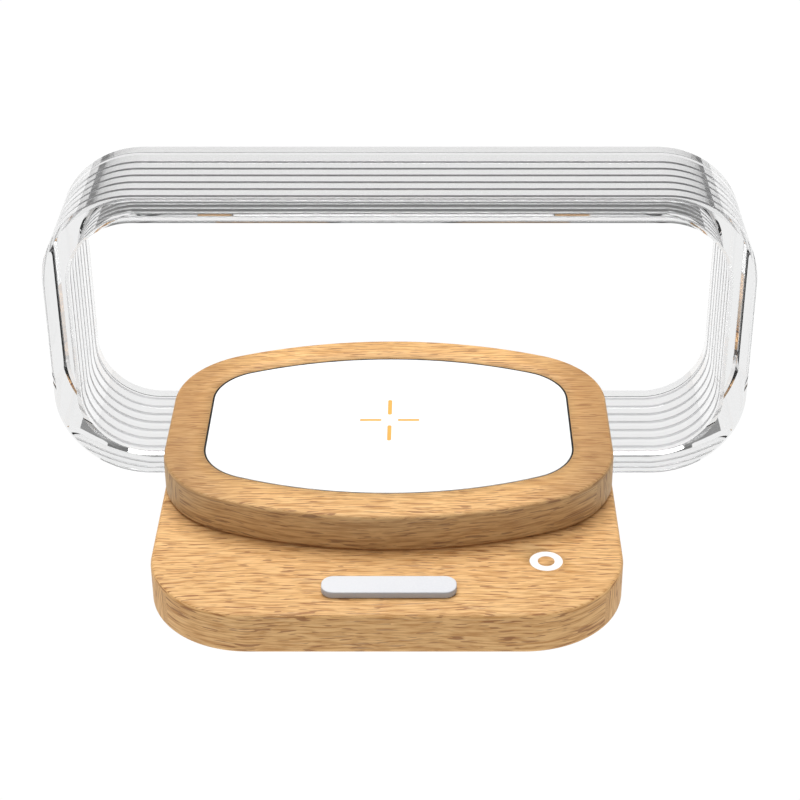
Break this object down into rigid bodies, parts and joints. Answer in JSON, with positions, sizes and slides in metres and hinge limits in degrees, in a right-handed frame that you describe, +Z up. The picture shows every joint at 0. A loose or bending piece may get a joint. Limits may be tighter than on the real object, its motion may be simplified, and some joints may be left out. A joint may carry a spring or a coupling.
{
  "type": "wireless charging pad with light loop",
  "caption": "Beech bedside wireless charging pad on a square beech base, with a clear acrylic light loop standing through the base and a soft stop for a standing telephone.",
  "frame": {"origin": "on the standing surface, under the middle of the bounding box", "axes": "+Z up; +X to the user's right along the light loop; +Y to the back, where the power socket is"},
  "size_m": [0.26, 0.1648, 0.1188],
  "materials": {
    "beech": "fine sanded and oiled, straight grain",
    "clear_acrylic": "clear, polished, grooved inside",
    "white_panel": "satin white",
    "amber": "satin amber",
    "white_silicone": "soft matt white",
    "white_plastic": "matt white",
    "grey_silicone": "matt grey",
    "dark_plastic": "fine texture, charcoal",
    "circuit_board": "green lacquered board",
    "chip_black": "black moulded",
    "steel": "plain zinc plated",
    "copper": "bright copper",
    "ferrite": "dark grey sintered",
    "led_cream": "warm white phosphor",
    "nylon": "natural",
    "lead_red": "red insulation"
  },
  "bodies": {
    "base": {"base_block": "beech", "pad_block": "beech", "charging_panel": "white_panel", "mark_left": "amber", "mark_right": "amber", "mark_front": "amber", "mark_back": "amber", "panel_tape": "grey_silicone", "phone_stop": "white_silicone", "touch_ring": "white_plastic", "touch_electrode": "copper", "touch_contact": "steel", "lamp_board": "circuit_board", "touch_chip": "chip_black", "coil_carrier": "dark_plastic", "ferrite_disc": "ferrite", "charging_coil": "copper", "charger_board": "circuit_board", "charger_chip": "chip_black", "charger_inductor": "ferrite", "capacitor_1": "amber", "capacitor_2": "amber", "capacitor_3": "amber", "usb_socket": "steel", "usb_tongue": "chip_black", "board_spacer_1": "nylon", "board_spacer_2": "nylon", "board_spacer_3": "nylon", "board_spacer_4": "nylon", "light_strip": "circuit_board", "led_1": "led_cream", "led_2": "led_cream", "led_3": "led_cream", "led_4": "led_cream", "led_5": "led_cream", "led_6": "led_cream", "led_7": "led_cream", "led_8": "led_cream", "reflector": "white_plastic", "grip_strip_left": "grey_silicone", "grip_strip_right": "grey_silicone", "power_lead": "lead_red", "strip_lead": "lead_red", "ballast_plate": "steel", "bottom_cover": "dark_plastic", "cover_screw_1": "steel", "cover_screw_2": "steel", "cover_screw_3": "steel", "cover_screw_4": "steel", "cover_screw_5": "steel", "cover_screw_6": "steel", "pad_screw_1": "steel", "pad_screw_2": "steel", "pad_screw_3": "steel", "pad_screw_4": "steel", "foot_1": "grey_silicone", "foot_2": "grey_silicone", "foot_3": "grey_silicone", "foot_4": "grey_silicone"},
    "loop": {"light_loop": "clear_acrylic"}
  },
  "joints": [
    {"name": "loop_slide", "type": "slide", "parent": "base", "child": "loop", "axis": [1, 0, 0], "range_m": [-0.017, 0.009]}
  ]
}
